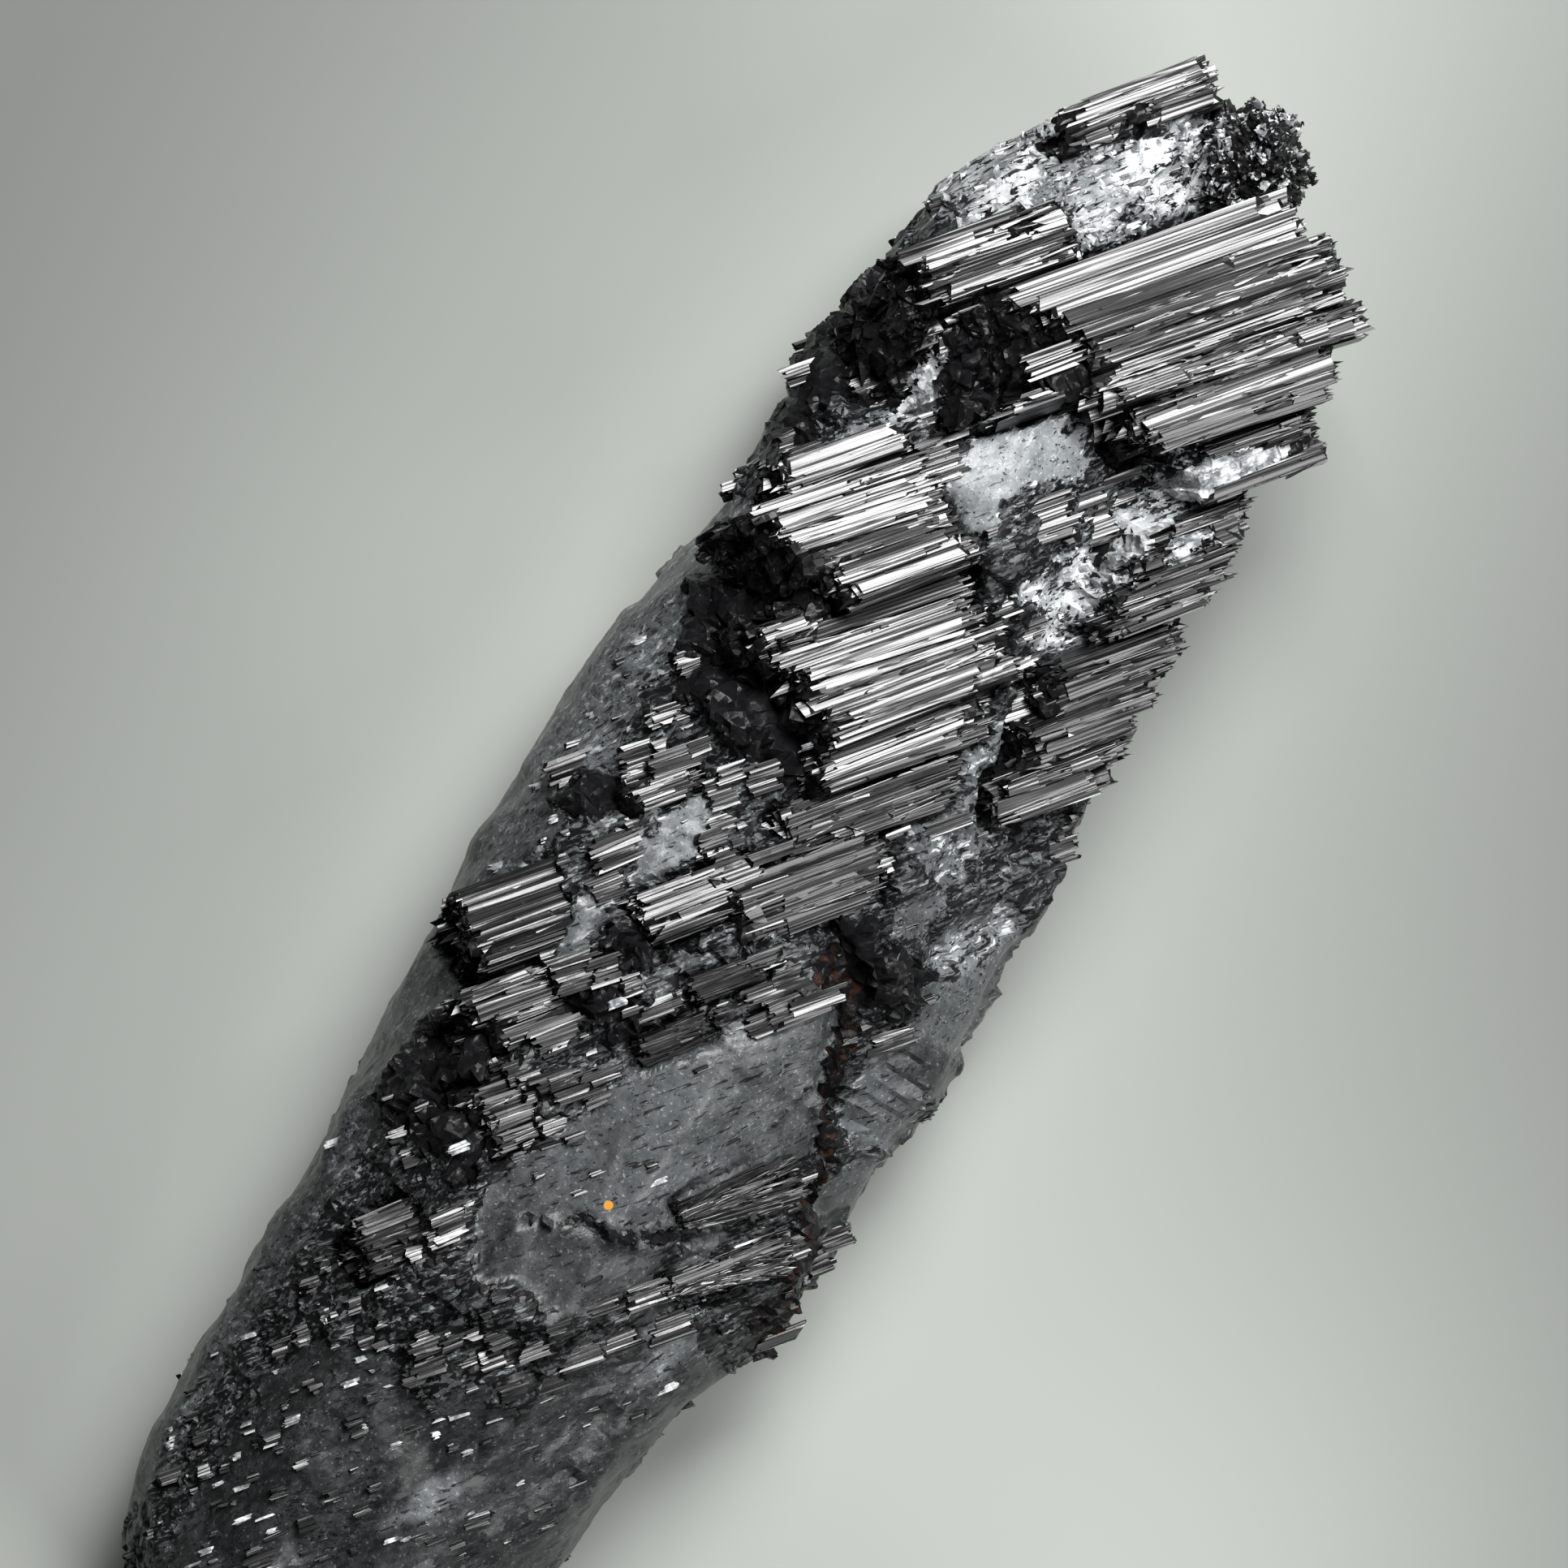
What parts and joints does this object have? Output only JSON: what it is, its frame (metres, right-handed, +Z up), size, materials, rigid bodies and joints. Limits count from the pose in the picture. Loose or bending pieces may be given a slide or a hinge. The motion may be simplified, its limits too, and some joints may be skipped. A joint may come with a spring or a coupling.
{
  "type": "tourmaline in quartz specimen",
  "caption": "Log of grey quartz lying on its side, crossed by bundles of striated black tourmaline crystals; a mineral specimen to show on a shelf.",
  "frame": {"origin": "middle of the specimen's box, on the surface that it rests on", "axes": "+X along the log, from the plain foot towards the crystal crown; +Z up, the side with the large crystal blocks; +Y across the log, the side where the crystals' broken left ends are"},
  "size_m": [0.1706, 0.0482, 0.0371],
  "materials": {
    "quartz": "smoky grey, half clear, with a waxy to glassy broken surface",
    "tourmaline": "black, glassy on the striated prism faces and dull on the broken ends"
  },
  "bodies": {
    "root": {"quartz_matrix": "quartz", "crown_block": "tourmaline", "shoulder_block": "tourmaline", "crown_blade": "tourmaline", "crown_knob": "tourmaline", "right_sheaf": "tourmaline", "tip_sheaf": "tourmaline", "big_block": "tourmaline", "second_block": "tourmaline", "ledge_crystals": "tourmaline", "edge_sheaf_upper": "tourmaline", "edge_sheaf_lower": "tourmaline", "flank_block_upper": "tourmaline", "flank_block_middle": "tourmaline", "flank_block_lower": "tourmaline", "centre_crystal": "tourmaline", "long_prism": "tourmaline", "short_prism": "tourmaline", "small_block": "tourmaline", "flank_chip": "tourmaline", "fan_sheaf": "tourmaline", "low_fan_sheaf": "tourmaline"}
  },
  "joints": []
}
